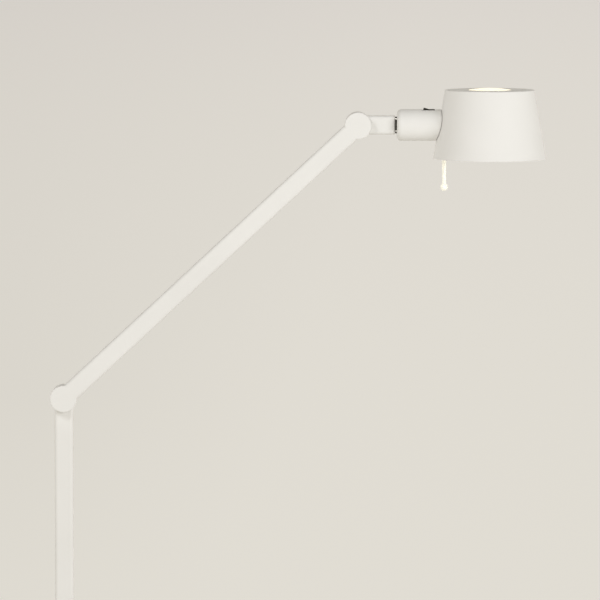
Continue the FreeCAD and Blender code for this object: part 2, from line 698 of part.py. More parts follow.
def joint_hardware(prefix, x, z):
    """Shaft, friction washer, flat washer, disc spring, nut and rear cap of one pivot."""
    web_back = "0 - tube_depth / 2 + web_thickness"
    washer_back = f"{web_back} + flat_washer"
    spring_back = f"{washer_back} + spring_height"
    nut_back = f"{spring_back} + nut_height"
    inner = "0 - tube_depth / 2"
    bore = "shaft_diameter + 0.4"
    pieces = (
        disc(f"{prefix}_shaft", "shaft_bore", "shaft_diameter",
             f"{inner} - hub_gap - shaft_grip", f"{nut_back} + 0.5"),
        disc(f"{prefix}_friction_washer", bore, "friction_diameter",
             f"{inner} - hub_gap - friction_inset", f"{inner} + friction_inset"),
        disc(f"{prefix}_flat_washer", bore, "flat_washer_diameter", web_back, washer_back),
        turned(f"{prefix}_disc_spring", [
            (f"({bore}) / 2", f"{spring_back} - spring_sheet"), ("spring_diameter / 2", washer_back),
            ("spring_diameter / 2", f"{washer_back} + spring_sheet"), (f"({bore}) / 2", spring_back),
        ]),
        disc(f"{prefix}_cap", "0", "cap_diameter - 0.1",
             "tube_depth / 2 - cap_thickness", "tube_depth / 2"),
    )
    for piece in pieces:
        put(piece, x, "0", z, ALONG_Y)
    nut = hex_nut(f"{prefix}_nut", "nut_width", "shaft_diameter + 0.1", "nut_height")
    put(nut, x, spring_back, z, ALONG_Y)


def stop_pin(prefix, x, z, angle):
    """Pin in a front hub, on its neck side, that runs in the rear hub's slot."""
    pin = disc(f"{prefix}_stop_pin", "0", "stop_pin", "0", "4 + hub_gap + stop_depth - 0.2")
    reach = f"stop_radius * cos({angle})", f"stop_radius * sin({angle})"
    put(pin, f"{x} + {reach[0]}", "0 - tube_depth / 2 - hub_gap - 4", f"{z} + {reach[1]}", ALONG_Y)


def arm_pieces():
    arm_angle = size_of("arm_angle")
    post_turn, arm_turn = neck_turn(-90), neck_turn(arm_angle)
    back_turn, link_turn = neck_turn(arm_angle + 180), neck_turn(0)

    foot_top = "(base_height + foot_height)"
    put(tube("post_tube", f"elbow_height - neck_length - {foot_top}"), "0", "0", "elbow_height", post_turn)
    put(rear_hub("post_hub"), "0", "0", "elbow_height", post_turn)

    put(tube("arm_tube", "arm_length - 2 * neck_length"), "0", ARM_Y, "elbow_height", arm_turn)
    put(front_hub("arm_lower_hub"), "0", ARM_Y, "elbow_height", arm_turn)
    put(front_hub("arm_upper_hub"), WRIST_X, ARM_Y, WRIST_Z, back_turn)
    put(link_arm("link_arm"), WRIST_X, "0", WRIST_Z, link_turn)

    joint_hardware("elbow", "0", "elbow_height")
    joint_hardware("wrist", WRIST_X, WRIST_Z)
    stop_pin("elbow", "0", "elbow_height", "arm_angle")
    stop_pin("wrist", WRIST_X, WRIST_Z, "arm_angle + 180")


# ---------------------------------------------------------------- swivel and lamp head

def swivel_pieces():
    """Hollow shaft from the link into the housing, with ring, washer, spring, nut and stop pin."""
    link_end = f"{WRIST_X} + link_length"
    wall = "ring_width + swivel_wall"
    washer = f"{wall} + flat_washer"
    spring = f"{washer} + spring_height"
    nut_end = f"{spring} + swivel_nut"
    bore = "shaft_diameter + 0.4"
    ring = turned("swivel_ring", [
        (f"({bore}) / 2", "0"), ("ring_diameter / 2 - 0.5", "0"), ("ring_diameter / 2", "0.5"),
        ("ring_diameter / 2", "ring_width - 0.5"), ("ring_diameter / 2 - 0.5", "ring_width"),
        (f"({bore}) / 2", "ring_width"),
    ])
    pin_hole = new_sketch(ring, "XY_Plane", "swivel_ring_pin_hole")
    draw_circle(pin_hole, "swivel_stop_pin + 0.1", "swivel_stop_radius", "0")
    pocket(ring, pin_hole, reverse=True)
    pieces = (
        ring,
        disc("swivel_shaft", "shaft_bore", "shaft_diameter", "0 - 12", f"{nut_end} + 1"),
        disc("swivel_washer", bore, "flat_washer_diameter", wall, washer),
        turned("swivel_spring", [
            (f"({bore}) / 2", f"{spring} - spring_sheet"), ("spring_diameter / 2", washer),
            ("spring_diameter / 2", f"{washer} + spring_sheet"), (f"({bore}) / 2", spring),
        ]),
    )
    for piece in pieces:
        put(piece, link_end, "0", WRIST_Z, ALONG_X)
    nut = hex_nut("swivel_nut", "nut_width", "shaft_diameter + 0.1", "swivel_nut")
    put(nut, f"{link_end} + {spring}", "0", WRIST_Z, ALONG_X)
    pin = disc("swivel_stop_pin", "0", "swivel_stop_pin", "0", "4 + ring_width + swivel_stop_depth - 0.2")
    put(pin, f"{link_end} - 4", "0", f"{WRIST_Z} - swivel_stop_radius", ALONG_X)


def shade_cone(name, growth):
    """A solid cone that follows the shade's outer wall at a distance, above and below it too."""
    slope = "(shade_rim_diameter - shade_top_diameter) / 2 / (shade_rise + shade_drop)"
    over = "10"
    cone = doc.addObject("Part::Cone", name)
    cone.setExpression("Radius1", formula(f"shade_rim_diameter / 2 + ({growth}) + {over} * {slope}"))
    cone.setExpression("Radius2", formula(f"shade_top_diameter / 2 + ({growth}) - {over} * {slope}"))
    cone.setExpression("Height", formula(f"shade_rise + shade_drop + 2 * {over}"))
    return put(cone, SHADE_X, "0", f"{WRIST_Z} - shade_drop - {over}")


def housing_piece():
    """Cup about the head axis, saddle-cut to the shade, with the rocker's window on top."""
    outside, inside = "housing_diameter / 2", "housing_diameter / 2 - housing_wall"
    bore = "shaft_diameter / 2 + running_play"
    cup = turned("housing_cup", [
        (bore, "0"), (outside, "0"), (outside, "shade_reach / 2 + 8"),
        (inside, "shade_reach / 2 + 8"), (inside, "swivel_wall"), (bore, "swivel_wall"),
    ])
    outer, inner, wall = size_of(outside), size_of(inside), size_of("swivel_wall")
    round_edges(cup, "housing_round_end", "housing_round", lambda edge: is_circle(edge, outer, 0))
    round_edges(cup, "housing_inner_round", "housing_round - housing_wall",
                lambda edge: is_circle(edge, inner, wall))
    slot = new_sketch(cup, "XZ_Plane", "housing_stop_slot")
    near = "swivel_stop_radius - swivel_stop_slot / 2"
    far = "swivel_stop_radius + swivel_stop_slot / 2"
    draw_outline(slot, [(near, "0"), (far, "0"), (far, "swivel_stop_depth"), (near, "swivel_stop_depth")])
    groove(cup, slot, "swivel_sweep", "V_Axis")
    put(cup, HOUSING_X, "0", WRIST_Z, ALONG_X)

    window = solid_box("housing_window", "rocker_length + 0.9", "rocker_width + 0.8", "12",
                       f"{HOUSING_X} + switch_reach", "0", f"{WRIST_Z} + 14")
    screw_room = shade_cone("housing_saddle", "seam")
    tools = joined("housing_cuts", "Part::MultiFuse", [window, screw_room])
    cut("housing", cup, tools)


def mouth_flange():
    """Ring fixed in the housing's mouth, saddle-cut like it and relieved for the switch."""
    head = HOUSING_X
    blank = solid_cylinder("flange_blank", "housing_diameter - 2 * housing_wall - 0.1", "flange_length",
                           f"{head} + flange_start", "0", WRIST_Z, ALONG_X)
    passage = solid_cylinder("flange_passage", "flange_bore", "30", f"{head} + 40", "0", WRIST_Z, ALONG_X)
    relief = solid_box("flange_relief", "20", "switch_width + 1.2", "30",
                       f"{head} + 41.4", "0", f"{WRIST_Z} + switch_floor - 1.5")
    saddle = shade_cone("flange_saddle", "seam")
    tools = [passage, relief, saddle]
    for side in (-1, 1):
        tools.append(solid_cylinder(f"flange_thread_{side + 2}", "clamp_thread", "30", f"{head} + 40",
                                    f"{side} * clamp_screw_spacing / 2", WRIST_Z, ALONG_X))
    cut("mouth_flange", blank, joined("flange_cuts", "Part::MultiFuse", tools))


def clamp_ring():
    """Ring inside the shade: it pinches the shade's wall against the housing's mouth."""
    head = HOUSING_X
    face = f"{head} + clamp_face"
    blank = solid_cylinder("clamp_blank", "clamp_diameter", "clamp_face - 40", f"{head} + 40", "0",
                           WRIST_Z, ALONG_X)
    inner_cone = shade_cone("clamp_saddle", "0 - shade_sheet - 0.1")
    inside = joined("clamp_inside", "Part::MultiCommon", [blank, inner_cone])
    tools = [
        solid_cylinder("clamp_passage", "holder_diameter + 0.6", "40", f"{head} + 35", "0", WRIST_Z, ALONG_X),
        solid_cylinder("clamp_counterbore", "flange_bore", "holder_start + 7 - 35", f"{head} + 35", "0",
                       WRIST_Z, ALONG_X),
        solid_cylinder("clamp_rod_hole", "rod_hole", "7", f"{head} + rod_reach", "0", f"{WRIST_Z} - 22.5"),
    ]
    for side in (-1, 1):
        y = f"{side} * clamp_screw_spacing / 2"
        tools.append(solid_cylinder(f"clamp_clear_{side + 2}", "clamp_clearance", "30", f"{head} + 40", y,
                                    WRIST_Z, ALONG_X))
        sink = doc.addObject("Part::Cone", f"clamp_sink_{side + 2}")
        sink.Radius1, sink.Radius2, sink.Height = 1.5, 2.9, 1.5
        tools.append(put(sink, f"{face} - 1.5", y, WRIST_Z, ALONG_X))
    cut("clamp_ring", inside, joined("clamp_cuts", "Part::MultiFuse", tools))


def clamp_screws():
    """Two countersunk screws along the head axis, from inside the shade into the flange."""
    face = f"{HOUSING_X} + clamp_face"
    screws = []
    for side in (-1, 1):
        y = f"{side} * clamp_screw_spacing / 2"
        shank = solid_cylinder(f"clamp_screw_shank_{side + 2}", "clamp_screw", "clamp_screw_length - 1",
                               f"{face} - clamp_screw_length", y, WRIST_Z, ALONG_X)
        head = doc.addObject("Part::Cone", f"clamp_screw_head_{side + 2}")
        head.Radius1, head.Radius2, head.Height = 1.4, 2.7, 1.4
        put(head, f"{face} - 1.4", y, WRIST_Z, ALONG_X)
        blank = joined(f"clamp_screw_blank_{side + 2}", "Part::MultiFuse", [shank, head])
        drive = solid_box(f"clamp_screw_drive_{side + 2}", "0.8", "0.6", "4", face, y, f"{WRIST_Z} - 2")
        screws.append(cut(f"clamp_screw_{side + 2}", blank, drive))
    group = doc.addObject("Part::Compound", "clamp_screws")
    group.Label = "clamp_screws"
    group.Links = screws
    doc.recompute()


def shade_piece():
    """Spun cone with a flat top, a stepped light opening and a side hole for the lampholder."""
    top, rim = "shade_top_diameter / 2", "shade_rim_diameter / 2"
    hole, seat = "top_hole / 2", "top_hole / 2 - seat_width"
    seat_top = "shade_rise - diffuser_thickness + 0.1"
    shade = turned("shade", [
        (rim, "0 - shade_drop"), (top, "shade_rise"), (hole, "shade_rise"), (hole, seat_top),
        (seat, seat_top), (seat, f"{seat_top} - shade_sheet"),
        (f"{hole} + shade_sheet", f"{seat_top} - shade_sheet"),
        (f"{hole} + shade_sheet", "shade_rise - shade_sheet"),
        (f"{top} - shade_sheet + 0.16", "shade_rise - shade_sheet"),
        (f"{rim} - shade_sheet", "0 - shade_drop"),
    ])
    radius, height = size_of(top), size_of("shade_rise")
    round_edges(shade, "shade_top_edge", "shade_edge", lambda edge: is_circle(edge, radius, height))
    holes = new_sketch(shade, "YZ_Plane", "shade_side_holes")
    draw_circle(holes, "flange_bore + 0.4")
    for side in (-1, 1):
        draw_circle(holes, "clamp_clearance", f"{side} * clamp_screw_spacing / 2", "0")
    pocket(shade, holes, "shade_rim_diameter")
    put(shade, SHADE_X, "0", WRIST_Z)

    crown = "diffuser_crown"
    spread = "top_hole / 2 - 0.3"
    dome = f"(({spread}) * ({spread}) + {crown} * {crown}) / (2 * {crown})"
    edge_top = "shade_rise + 0.15"
    body = disc("diffuser_disc", "0", f"2 * ({spread})", seat_top + " + 0.05", f"shade_rise + {crown} + 1")
    put(body, SHADE_X, "0", WRIST_Z)
    ball = doc.addObject("Part::Sphere", "diffuser_dome")
    ball.setExpression("Radius", formula(dome))
    put(ball, SHADE_X, "0", f"{WRIST_Z} + {edge_top} + {crown} - ({dome})")
    joined("top_diffuser", "Part::MultiCommon", [body, ball])


def lampholder_pieces():
    """Small screw lampholder with its ring nut, brass thread sleeve and centre contact."""
    start, end = "holder_start", "(holder_start + holder_length)"
    radius = "holder_diameter / 2"
    well, sleeve = "7.6", "7.05"
    holder = turned("lampholder", [
        ("1.6", start), ("9", start), (radius, f"{start} + 3"), (radius, f"{start} + 5"),
        ("13", f"{start} + 5"), ("13", f"{start} + 6.9"), (radius, f"{start} + 6.9"), (radius, end),
        (well, end), (well, f"{start} + 15"), ("1.6", f"{start} + 15"),
    ])
    nut = disc("lampholder_ring", "holder_diameter + 0.1", "31", "clamp_face", "clamp_face + 3.5")
    shell = disc("thread_sleeve", f"2 * {sleeve}", f"2 * {well} - 0.1", f"{start} + 16", f"{end} - 1.5")
    contact = turned("centre_contact", [
        ("0", f"{start} + 10"), ("1.5", f"{start} + 10"), ("1.5", f"{start} + 15"),
        ("4", f"{start} + 15.2"), ("4", f"{start} + 15.8"), ("0", f"{start} + 16.8"),
    ])
    for piece in (holder, nut, shell, contact):
        put(piece, HOUSING_X, "0", WRIST_Z, ALONG_X)


def bulb_pieces():
    """Golf-ball bulb: screw cap, plastic collar and opal globe."""
    middle, radius = "globe_reach", "globe_diameter / 2"
    tip = "globe_reach + globe_diameter / 2 - 78"
    mouth = "holder_start + holder_length + 0.6"
    cut_plane = "globe_reach - 17.6"
    cap = turned("bulb_cap", [
        ("0", tip), ("2.2", tip), ("2.8", f"{tip} + 1"), ("6", f"{tip} + 3"), ("6.9", f"{tip} + 4"),
        ("6.9", mouth), ("0", mouth),
    ])
    collar = turned("bulb_collar", [
        ("0", mouth), ("8.5", mouth), ("9.2", f"{mouth} + 5"), ("14", cut_plane), ("0", cut_plane),
    ])
    for piece in (cap, collar):
        put(piece, HOUSING_X, "0", WRIST_Z, ALONG_X)
    balls = []
    for name, size in (("globe_outside", radius), ("globe_inside", f"{radius} - globe_wall")):
        ball = doc.addObject("Part::Sphere", name)
        ball.setExpression("Radius", formula(size))
        balls.append(put(ball, f"{HOUSING_X} + {middle}", "0", WRIST_Z))
    shell = cut("globe_shell", *balls)
    keep = solid_cylinder("globe_keep", "globe_diameter + 10", "60", f"{HOUSING_X} + {cut_plane}", "0",
                          WRIST_Z, ALONG_X)
    joined("bulb_globe", "Part::MultiCommon", [shell, keep])


def glass_rod():
    """Clear handle: a tapered rod set in the clamp ring, ending in a ball."""
    ball_radius, end_radius = "rod_ball / 2", "rod_end_diameter / 2"
    meet = f"(0 - rod_drop + sqrt({ball_radius} * {ball_radius} - {end_radius} * {end_radius}))"
    rod = turned("glass_rod_shank", [
        ("0", f"{meet} - 1"), (end_radius, f"{meet} - 1"), (end_radius, meet),
        ("rod_top_diameter / 2", "0 - clamp_diameter / 2 - 0.2"),
        ("rod_tenon / 2", "0 - clamp_diameter / 2 - 0.2"),
        ("rod_tenon / 2", "0 - clamp_diameter / 2 + 4"), ("0", "0 - clamp_diameter / 2 + 4"),
    ])
    put(rod, f"{HOUSING_X} + rod_reach", "0", WRIST_Z)
    ball = doc.addObject("Part::Sphere", "glass_rod_ball")
    ball.setExpression("Radius", formula(ball_radius))
    put(ball, f"{HOUSING_X} + rod_reach", "0", f"{WRIST_Z} - rod_drop")
    joined("glass_rod", "Part::MultiFuse", [rod, ball])


def switch_pieces():
    """Rocker switch under the housing's window; its rocker turns on two trunnions."""
    x = f"{HOUSING_X} + switch_reach"
    floor, top = f"{WRIST_Z} + switch_floor", f"{WRIST_Z} + switch_top"
    block = solid_box("switch_block", "switch_length", "switch_width", "switch_top - switch_floor",
                      x, "0", floor)
    frame = solid_box("switch_frame", "switch_length + 1.6", "switch_width", "1.8", x, "0", f"{top} - 1.8")
    blank = joined("switch_blank", "Part::MultiFuse", [block, frame])
    cavity = solid_box("switch_cavity", "rocker_length + 0.7", "rocker_width + 0.6", "20",
                       x, "0", f"{WRIST_Z} + 11")
    bearing = solid_cylinder("switch_bearing", "rocker_pin + 2 * rocker_play", "rocker_width + 2.2",
                             x, "0 - rocker_width / 2 - 1.1", f"{WRIST_Z} + switch_pivot", ALONG_Y)
    cut("switch_body", blank, joined("switch_cuts", "Part::MultiFuse", [cavity, bearing]))

    tabs = []
    for side in (-1, 1):
        tabs.append(solid_box(f"switch_tab_{side + 2}", "0.8", "4.8", "3.5", f"{x} + {side * 5}", "0",
                              f"{floor} - 3.5"))
    group = doc.addObject("Part::Compound", "switch_terminals")
    group.Label = "switch_terminals"
    group.Links = tabs
    doc.recompute()

    rocker = new_body("rocker")
    sketch = new_sketch(rocker, "XZ_Plane", "rocker_side")
    half, valley, lean = "rocker_length / 2", "5.35", "7.1"
    crest = f"{valley} + {lean} * tan(rocker_tilt)"
    draw_outline(sketch, [
        (f"0 - {half}", "0 - 1.5"), ("0 - 3", "0 - 3.2"), ("3", "0 - 3.2"), (half, "0 - 1.5"),
        (half, "0.5"), (lean, crest), ("0", valley), (f"0 - {lean}", crest), (f"0 - {half}", "0.5"),
    ])
    pad(rocker, sketch, "rocker_width", midplane=True)
    top_edge = size_of(crest)
    round_edges(rocker, "rocker_crests", "0.5", lambda edge: (
        lies_along(edge, Vector(0, 1, 0)) and abs(edge.CenterOfMass.z - top_edge) < 1e-3))
    pin = new_sketch(rocker, "XZ_Plane", "rocker_trunnions")
    draw_circle(pin, "rocker_pin")
    pad(rocker, pin, "rocker_width + 2", midplane=True)
    tilt = Rotation(Vector(0, 1, 0), size_of("rocker_tilt"))
    put(rocker, x, "0", f"{WRIST_Z} + switch_pivot", tilt)


# ---------------------------------------------------------------- leads

def rounded_path(points, bend):
    """Straight runs joined by tangent arcs, as one wire."""
    edges = []
    start = points[0]
    for before, corner, after in zip(points, points[1:], points[2:]):
        back = (before - corner).normalize()
        onward = (after - corner).normalize()
        half_turn = (math.pi - back.getAngle(onward)) / 2
        shorter = min((before - corner).Length, (after - corner).Length)
        radius = min(bend, 0.45 * shorter / math.tan(half_turn))
        inset = radius * math.tan(half_turn)
        first, last = corner + back * inset, corner + onward * inset
        middle = corner + (back + onward).normalize() * (radius / math.cos(half_turn) - radius)
        edges.append(Part.LineSegment(start, first).toShape())
        edges.append(Part.Arc(first, middle, last).toShape())
        start = last
    edges.append(Part.LineSegment(start, points[-1]).toShape())
    return Part.Wire(edges)


def lead(name, points, bend):
    """A round lead along a route of (x, y, z) points."""
    route = rounded_path([Vector(*point) for point in points], bend)
    heading = route.Edges[0].tangentAt(route.Edges[0].FirstParameter)
    radius = size_of("lead_diameter / 2")
    section = Part.Wire(Part.Circle(Vector(*points[0]), heading, radius).toShape())
    pipe = route.makePipeShell([section], True, False)
    expected = math.pi * radius**2 * route.Length
    if abs(pipe.Volume / expected - 1) > 0.02:
        raise RuntimeError(f"{name}: volume {pipe.Volume:.0f}, expected {expected:.0f}")
    piece = doc.addObject("Part::Feature", name)
    piece.Label = name
    piece.Shape = pipe
    return piece


def lead_pieces():
    """One rigid stretch of the two-core lead in each body; the ends meet on the joint axes."""
    tight, easy = 2.2, 9.0
    elbow_z, wrist_x, wrist_z = size_of("elbow_height"), size_of(WRIST_X), size_of(WRIST_Z)
    shaft_end = size_of("0 - tube_depth / 2 + web_thickness + flat_washer + spring_height + nut_height + 0.5")
    behind = size_of("lead_shift")
    front = size_of(f"{ARM_Y} - front_channel_shift")
    base_z = size_of(f"{PLATE_TOP} + 5")
    jog = size_of("neck_length + spigot_length + 10")

    lead("post_lead", [
        (0, 71.5, base_z), (0, 0, base_z), (0, 0, elbow_z - jog - 60), (0, behind, elbow_z - jog),
        (0, behind, elbow_z), (0, shaft_end, elbow_z),
    ], tight)

    lead("arm_lead", [
        (0, shaft_end, elbow_z), (0, front, elbow_z), (wrist_x, front, wrist_z),
        (wrist_x, shaft_end, wrist_z),
    ], tight)

    swivel_start = wrist_x + size_of("link_length") - 12
    swivel_end = wrist_x + size_of(
        "link_length + ring_width + swivel_wall + flat_washer + spring_height + swivel_nut + 1")
    lead("link_lead", [
        (wrist_x, shaft_end, wrist_z), (wrist_x, behind, wrist_z), (wrist_x + 16, behind, wrist_z),
        (swivel_start - 4, 0, wrist_z), (swivel_end, 0, wrist_z),
    ], tight)

    holder = size_of(f"{HOUSING_X} + holder_start")
    switch_x = size_of(f"{HOUSING_X} + switch_reach")
    drop, end_gap = 5, 0.4
    lead("head_lead", [
        (swivel_end + end_gap, 0, wrist_z), (swivel_end + 7, 0, wrist_z), (swivel_end + 14, 0, wrist_z - drop),
        (switch_x + 4, 0, wrist_z - drop), (holder - 2, 0, wrist_z), (holder, 0, wrist_z),
    ], easy)


# ---------------------------------------------------------------- build and write

NODES = (
    "base_pad", "base_plate", "base_plate_screws", "base_weight", "base_cover", "cord_gland",
    "cord_gland_nut", "terminal_block", "foot_flange", "foot_screws", "post_tube", "post_hub",
    "elbow_cap", "post_lead",
    "arm_tube", "arm_lower_hub", "arm_upper_hub", "elbow_shaft", "elbow_friction_washer",
    "elbow_flat_washer", "elbow_disc_spring", "elbow_nut", "elbow_stop_pin", "wrist_shaft",
    "wrist_friction_washer", "wrist_flat_washer", "wrist_disc_spring", "wrist_nut",
    "wrist_stop_pin", "arm_lead",
    "link_arm", "wrist_cap", "link_lead", "swivel_ring", "swivel_shaft", "swivel_washer",
    "swivel_spring", "swivel_nut", "swivel_stop_pin",
    "housing", "mouth_flange", "clamp_ring", "clamp_screws", "shade", "top_diffuser",
    "lampholder", "lampholder_ring", "thread_sleeve", "centre_contact", "bulb_cap",
    "bulb_collar", "bulb_globe", "glass_rod", "switch_body", "switch_terminals", "head_lead",
    "rocker",
)


def build():
    base_pieces()
    gland_pieces()
    terminal_block()
    foot_flange()
    arm_pieces()
    swivel_pieces()
    housing_piece()
    mouth_flange()
    clamp_ring()
    clamp_screws()
    shade_piece()
    lampholder_pieces()
    bulb_pieces()
    glass_rod()
    switch_pieces()
    lead_pieces()
    doc.recompute()


def check_document():
    """Stop if any feature failed or any piece's shape is missing or invalid."""
    for item in doc.Objects:
        if {"Invalid", "Error"} & set(item.State):
            raise RuntimeError(f"{item.Name} failed: {item.State}")
    for name in NODES:
        shape = doc.getObject(name).Shape
        if shape.isNull() or not shape.isValid() or not shape.Solids:
            raise RuntimeError(f"{name} has no valid solid")


def write_pieces():
    os.makedirs("parts", exist_ok=True)
    for name in NODES:
        piece = doc.getObject(name)
        piece.Shape.exportStep(f"parts/{piece.Label}.step")
        print(f"{name}: {len(piece.Shape.Solids)} solid(s), {piece.Shape.Volume / 1000:.2f} cm3")


build()
check_document()
write_pieces()
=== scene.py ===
import json
import math

import bmesh
import bpy
from mathutils import Matrix, Vector

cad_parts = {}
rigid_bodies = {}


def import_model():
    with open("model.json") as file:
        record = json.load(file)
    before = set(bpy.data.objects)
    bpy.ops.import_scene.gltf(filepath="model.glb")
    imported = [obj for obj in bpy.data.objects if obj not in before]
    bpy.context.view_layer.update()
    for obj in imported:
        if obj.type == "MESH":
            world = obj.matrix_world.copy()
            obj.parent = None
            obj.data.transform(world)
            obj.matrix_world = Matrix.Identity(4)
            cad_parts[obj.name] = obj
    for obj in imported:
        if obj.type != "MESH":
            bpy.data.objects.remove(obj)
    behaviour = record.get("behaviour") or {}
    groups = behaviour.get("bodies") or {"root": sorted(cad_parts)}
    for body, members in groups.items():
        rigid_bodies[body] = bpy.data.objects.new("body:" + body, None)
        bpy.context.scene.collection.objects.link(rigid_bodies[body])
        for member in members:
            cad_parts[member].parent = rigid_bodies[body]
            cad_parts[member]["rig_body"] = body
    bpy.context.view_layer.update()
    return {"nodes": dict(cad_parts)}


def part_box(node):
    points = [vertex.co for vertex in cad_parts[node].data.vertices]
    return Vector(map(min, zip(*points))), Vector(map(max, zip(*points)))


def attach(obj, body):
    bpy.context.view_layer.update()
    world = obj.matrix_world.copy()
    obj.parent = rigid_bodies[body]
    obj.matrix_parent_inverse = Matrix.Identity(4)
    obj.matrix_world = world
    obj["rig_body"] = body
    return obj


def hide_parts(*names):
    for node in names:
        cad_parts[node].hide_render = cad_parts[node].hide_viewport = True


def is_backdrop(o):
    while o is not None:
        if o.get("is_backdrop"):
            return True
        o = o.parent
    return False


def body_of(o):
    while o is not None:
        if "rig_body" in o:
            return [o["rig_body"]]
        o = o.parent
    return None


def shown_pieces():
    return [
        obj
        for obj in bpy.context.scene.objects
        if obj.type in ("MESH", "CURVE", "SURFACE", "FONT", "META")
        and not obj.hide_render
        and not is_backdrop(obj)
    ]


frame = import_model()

NODES = frame["nodes"]

# ---------------------------------------------------------------- camera
AIM = Vector((0.303, -0.008, 1.026))
CAMERA_DISTANCE = 7.04
CAMERA_PITCH = math.radians(4.78)
CAMERA_LENS = 330.0
SENSOR_WIDTH = 36.0
CLIPPING = (0.1, 2000.0)


def make_camera():
    camera = bpy.data.objects.new("camera", bpy.data.cameras.new("camera"))
    bpy.context.scene.collection.objects.link(camera)
    camera.data.lens = CAMERA_LENS
    camera.data.sensor_width = SENSOR_WIDTH
    camera.data.clip_start, camera.data.clip_end = CLIPPING
    back = Vector((0.0, -math.cos(CAMERA_PITCH), math.sin(CAMERA_PITCH)))
    camera.location = AIM + back * CAMERA_DISTANCE
    camera.rotation_euler = (math.radians(90.0) - CAMERA_PITCH, 0.0, 0.0)
    bpy.context.scene.camera = camera


# ---------------------------------------------------------------- stage and light
# The sky's colour at the sine of an elevation.
SKY = (
    (0.04, (0.712, 0.676, 0.628)),
    (0.26, (0.750, 0.712, 0.660)),
    (0.50, (0.720, 0.684, 0.616)),
    (0.90, (0.120, 0.111, 0.085)),
)
FLOOR_SIZE = 1200.0
FLOOR_DROP = 0.0004
FLOOR_NEAR = (0.62, 0.605, 0.575)
FLOOR_FAR = (0.60, 0.585, 0.56)
FLOOR_NEAR_REACH = 1.2
FLOOR_FAR_REACH = 4.2
SKY_ON_FLOOR = (0.46, 0.441, 0.412)
BACKDROP_NEAR = (0.772, 0.744, 0.684)
BACKDROP_FAR = (0.724, 0.690, 0.650)
BACKDROP_REACH = (4.5, 50.0)
BACKDROP_SIDES = (-0.09, 0.03)
BACKDROP_LEFT = 0.88
DIMMING_REACH = (2.5, 9.0)
NEAR_GLOW = 0.78


def make_floor():
    """A floor far larger than any view, lit by a painted glow: darker round the object, bright far off,
    less so to the left.
    """
    mesh = bpy.data.meshes.new("floor")
    half = FLOOR_SIZE / 2
    corners = [(-half, -half, 0), (half, -half, 0), (half, half, 0), (-half, half, 0)]
    mesh.from_pydata(corners, [], [(0, 1, 2, 3)])
    floor = bpy.data.objects.new("floor", mesh)
    bpy.context.scene.collection.objects.link(floor)
    floor.location.z = -FLOOR_DROP
    finish = Finish("studio_floor", Roughness=1.0)
    finish.set("Specular IOR Level", 0.0)
    reach = finish.nodes.new("ShaderNodeVectorMath")
    reach.operation = "LENGTH"
    finish.links.new(finish.place, reach.inputs[0])
    distance = reach.outputs["Value"]
    spread = finish.ramp(distance, 0.0, 1.0, FLOOR_NEAR_REACH, FLOOR_FAR_REACH)
    finish.colour(spread, FLOOR_NEAR, FLOOR_FAR, 0.0, 1.0)

    # Painted light: the floor glows by the backdrop's brightness less what the sky already lights it by.
    glow = finish.nodes.new("ShaderNodeValToRGB")
    lit = [albedo * sky for albedo, sky in zip(FLOOR_FAR, SKY_ON_FLOOR)]
    for stop, backdrop in zip(glow.color_ramp.elements, (BACKDROP_NEAR, BACKDROP_FAR)):
        stop.color = (*[whole - own for whole, own in zip(backdrop, lit)], 1.0)
    finish.links.new(finish.ramp(distance, 0.0, 1.0, *BACKDROP_REACH), glow.inputs["Fac"])
    finish.links.new(glow.outputs["Color"], finish.shader.inputs["Emission Color"])

    # Painted shade: the glow is weaker round the object and dimmed towards the left, far off.
    split = finish.nodes.new("ShaderNodeSeparateXYZ")
    finish.links.new(finish.place, split.inputs[0])
    side = finish.arithmetic("DIVIDE", split.outputs["X"], distance)
    leftward = finish.ramp(side, 1.0 - BACKDROP_LEFT, 0.0, *BACKDROP_SIDES)
    far_off = finish.ramp(distance, 0.0, 1.0, *DIMMING_REACH)
    dimming = finish.arithmetic("MULTIPLY", leftward, far_off)
    brightness = finish.ramp(spread, NEAR_GLOW, 1.0, 0.0, 1.0)
    strength = finish.arithmetic("SUBTRACT", brightness, dimming)
    finish.links.new(strength, finish.shader.inputs["Emission Strength"])
    floor.data.materials.append(finish.material)
    floor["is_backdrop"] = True


def make_world():
    world = bpy.data.worlds.new("studio")
    bpy.context.scene.world = world
    world.use_nodes = True
    nodes, links = world.node_tree.nodes, world.node_tree.links
    place = nodes.new("ShaderNodeTexCoord")
    split = nodes.new("ShaderNodeSeparateXYZ")
    ramp = nodes.new("ShaderNodeValToRGB")
    links.new(place.outputs["Generated"], split.inputs[0])
    links.new(split.outputs["Z"], ramp.inputs["Fac"])
    stops = ramp.color_ramp.elements
    for stop, (height, colour) in zip(stops, (SKY[0], SKY[-1])):
        stop.position = height
        stop.color = (*colour, 1.0)
    for height, colour in SKY[1:-1]:
        stops.new(height).color = (*colour, 1.0)
    links.new(ramp.outputs["Color"], nodes["Background"].inputs["Color"])


LAMP_MIDDLE = (0.40, 0.0, 1.15)
LAMP_LOW = (0.25, 0.0, 1.0)
RING = (0.426, 0.0, 1.25)
PANEL_TINT = (0.935, 0.965, 1.0)
WHITE = (1.0, 1.0, 1.0)
# Name, place, aim, width, height and power. The panels light only the lamp.
PANELS = (
    ("left_panel", (-1.05, -2.45, 2.65), LAMP_MIDDLE, 0.8, 0.8, 19.3),
    ("right_panel", (2.49, -2.33, 1.82), LAMP_MIDDLE, 1.3, 1.3, 32.0),
    ("rear_panel", (-0.9, 3.6, 1.6), LAMP_LOW, 1.6, 1.6, 16.0),
)
# The strips light only the dark ring, which mirrors them.
STRIPS = (
    ("strip", (0.426, 0.15, 3.3), RING, 0.25, 0.5, 20.0),
    ("low_strip", (0.426, -0.08, 0.03), RING, 0.25, 0.4, 6.5),
)


